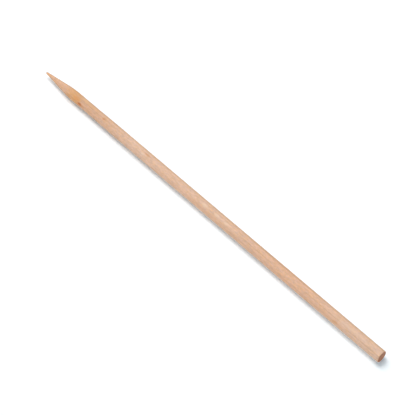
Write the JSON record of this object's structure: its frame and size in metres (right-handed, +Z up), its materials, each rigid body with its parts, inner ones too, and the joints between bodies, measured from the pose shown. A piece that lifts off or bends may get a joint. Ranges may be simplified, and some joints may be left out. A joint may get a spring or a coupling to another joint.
{
  "type": "bamboo skewer",
  "caption": "Round bamboo skewer with a long blunt ground point at one end and a plain saw-cut butt at the other.",
  "frame": {"origin": "middle of the stick's overall length, on its lowest line", "axes": "+X along the stick from the point to the sawn butt, +Z up from the surface that it lies on"},
  "size_m": [0.254, 0.0064, 0.0063],
  "materials": {
    "bamboo": "bare sanded bamboo, matt, with fine lengthwise fibres"
  },
  "bodies": {
    "root": {"skewer": "bamboo"}
  },
  "joints": []
}
